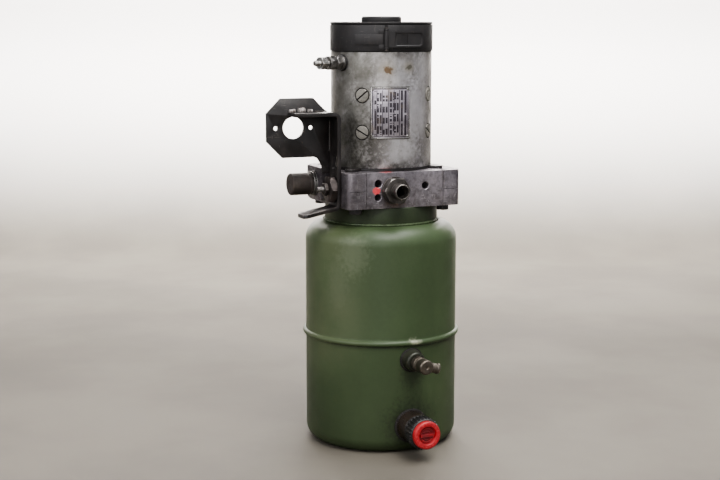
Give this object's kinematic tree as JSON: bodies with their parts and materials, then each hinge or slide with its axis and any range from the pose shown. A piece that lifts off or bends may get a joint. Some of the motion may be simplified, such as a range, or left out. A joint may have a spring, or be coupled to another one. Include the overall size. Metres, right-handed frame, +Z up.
{
  "type": "hydraulic power unit",
  "caption": "Upright DC motor on an aluminium valve block over a round green steel oil tank, with a black side bracket, a side valve, a return elbow and a filler cap.",
  "frame": {"origin": "centre of the tank's flat base, on the motor's axis", "axes": "+Z up along the motor and tank axis; -Y is the front, where the pressure port and the filler cap point; -X is the side with the bracket and the valves"},
  "size_m": [0.2298, 0.2171, 0.4755],
  "materials": {
    "tank_paint": "satin olive-green paint, thin and worn at the edges",
    "black_paint": "semi-gloss black paint with bare worn edges",
    "black_rubber": "matt black rubber",
    "black_plastic": "matt black moulded plastic",
    "red_plastic": "faded red plastic",
    "bare_steel": "bare drawn steel, oil-stained with rust spots",
    "dark_steel": "oily dark steel with light rust",
    "zinc_steel": "dull zinc plating, dirty in the corners",
    "block_aluminium": "machined cast aluminium, dull and scratched",
    "copper": "bare copper",
    "brass": "dull brass",
    "carbon": "matt carbon",
    "label_metal": "printed metal foil, scuffed"
  },
  "bodies": {
    "unit": {"tank_lower_shell": "tank_paint", "tank_upper_shell": "tank_paint", "neck_collar": "tank_paint", "return_boss": "dark_steel", "filler_boss": "dark_steel", "relief_valve_body": "dark_steel", "port_fitting": "dark_steel", "pole_shoe_1": "dark_steel", "pole_shoe_2": "dark_steel", "pole_shoe_3": "dark_steel", "pole_shoe_4": "dark_steel", "return_nipple": "zinc_steel", "return_elbow": "zinc_steel", "coil_retaining_nut": "zinc_steel", "relief_lock_nut": "zinc_steel", "latch_pin": "zinc_steel", "terminal_inner_nut": "zinc_steel", "terminal_outer_nut": "zinc_steel", "terminal_stud": "zinc_steel", "tank_seal_ring": "black_rubber", "solenoid_coil": "black_plastic", "terminal_insulator": "black_plastic", "valve_block": "block_aluminium", "valve_side_block": "block_aluminium", "pump_body": "block_aluminium", "pump_end_cover": "block_aluminium", "port_washer": "copper", "field_winding": "copper", "brush_holder_ring": "brass", "suction_filter": "brass", "corner_bolt_1": "black_paint", "corner_bolt_2": "black_paint", "corner_bolt_3": "black_paint", "corner_bolt_4": "black_paint", "bracket_strap": "black_paint", "socket_plate": "black_paint", "drive_end_shield": "black_paint", "commutator_end_cap": "black_paint", "bearing_cap": "black_paint", "brush_cover_band": "black_paint", "latch_bracket": "black_paint", "motor_yoke": "bare_steel", "upper_bearing": "bare_steel", "lower_bearing": "bare_steel", "nameplate": "label_metal"},
    "rotor": {"armature_shaft": "bare_steel", "armature_core": "dark_steel", "commutator": "copper", "pump_drive_gear": "bare_steel"},
    "driven_gear": {"pump_driven_gear": "bare_steel"},
    "latch": {"latch_lever": "black_paint"},
    "filler_cap": {"filler_cap_body": "black_plastic", "filler_cap_insert": "red_plastic", "filler_cap_seal": "black_rubber"},
    "relief_screw": {"relief_adjusting_screw": "zinc_steel"},
    "plunger": {"valve_plunger": "zinc_steel"},
    "brush_1": {"carbon_brush_1": "carbon"},
    "brush_2": {"carbon_brush_2": "carbon"},
    "brush_3": {"carbon_brush_3": "carbon"},
    "brush_4": {"carbon_brush_4": "carbon"}
  },
  "joints": [
    {"name": "rotor_spin", "type": "hinge", "parent": "unit", "child": "rotor", "pos_m": [0, 0, 0.37], "axis": [0, 0, 1], "continuous": true},
    {"name": "driven_gear_spin", "type": "hinge", "parent": "unit", "child": "driven_gear", "pos_m": [0, 0.0264, 0.243], "axis": [0, 0, 1], "continuous": true},
    {"name": "latch_swing", "type": "hinge", "parent": "unit", "child": "latch", "pos_m": [-0.01848, -0.05687, 0.451], "axis": [0, 0, -1], "range_deg": [0, 120]},
    {"name": "filler_cap_out", "type": "slide", "parent": "unit", "child": "filler_cap", "axis": [0, -1, 0], "range_m": [0, 0.035]},
    {"name": "relief_screw_turn", "type": "hinge", "parent": "unit", "child": "relief_screw", "pos_m": [-0.085, -0.031, 0.29], "axis": [-1, 0, 0], "continuous": true},
    {"name": "plunger_stroke", "type": "slide", "parent": "unit", "child": "plunger", "axis": [1, 0, 0], "range_m": [0, 0.005], "stiffness_N_per_m": 200},
    {"name": "brush_1_lift", "type": "slide", "parent": "unit", "child": "brush_1", "axis": [0, -1, 0], "range_m": [0, 0.006], "stiffness_N_per_m": 200},
    {"name": "brush_2_lift", "type": "slide", "parent": "unit", "child": "brush_2", "axis": [1, 0, 0], "range_m": [0, 0.006], "stiffness_N_per_m": 200},
    {"name": "brush_3_lift", "type": "slide", "parent": "unit", "child": "brush_3", "axis": [0, 1, 0], "range_m": [0, 0.006], "stiffness_N_per_m": 200},
    {"name": "brush_4_lift", "type": "slide", "parent": "unit", "child": "brush_4", "axis": [-1, 0, 0], "range_m": [0, 0.006], "stiffness_N_per_m": 200}
  ],
  "couplings": [
    {"joint": "driven_gear_spin", "follows": "rotor_spin", "ratio": -1}
  ]
}
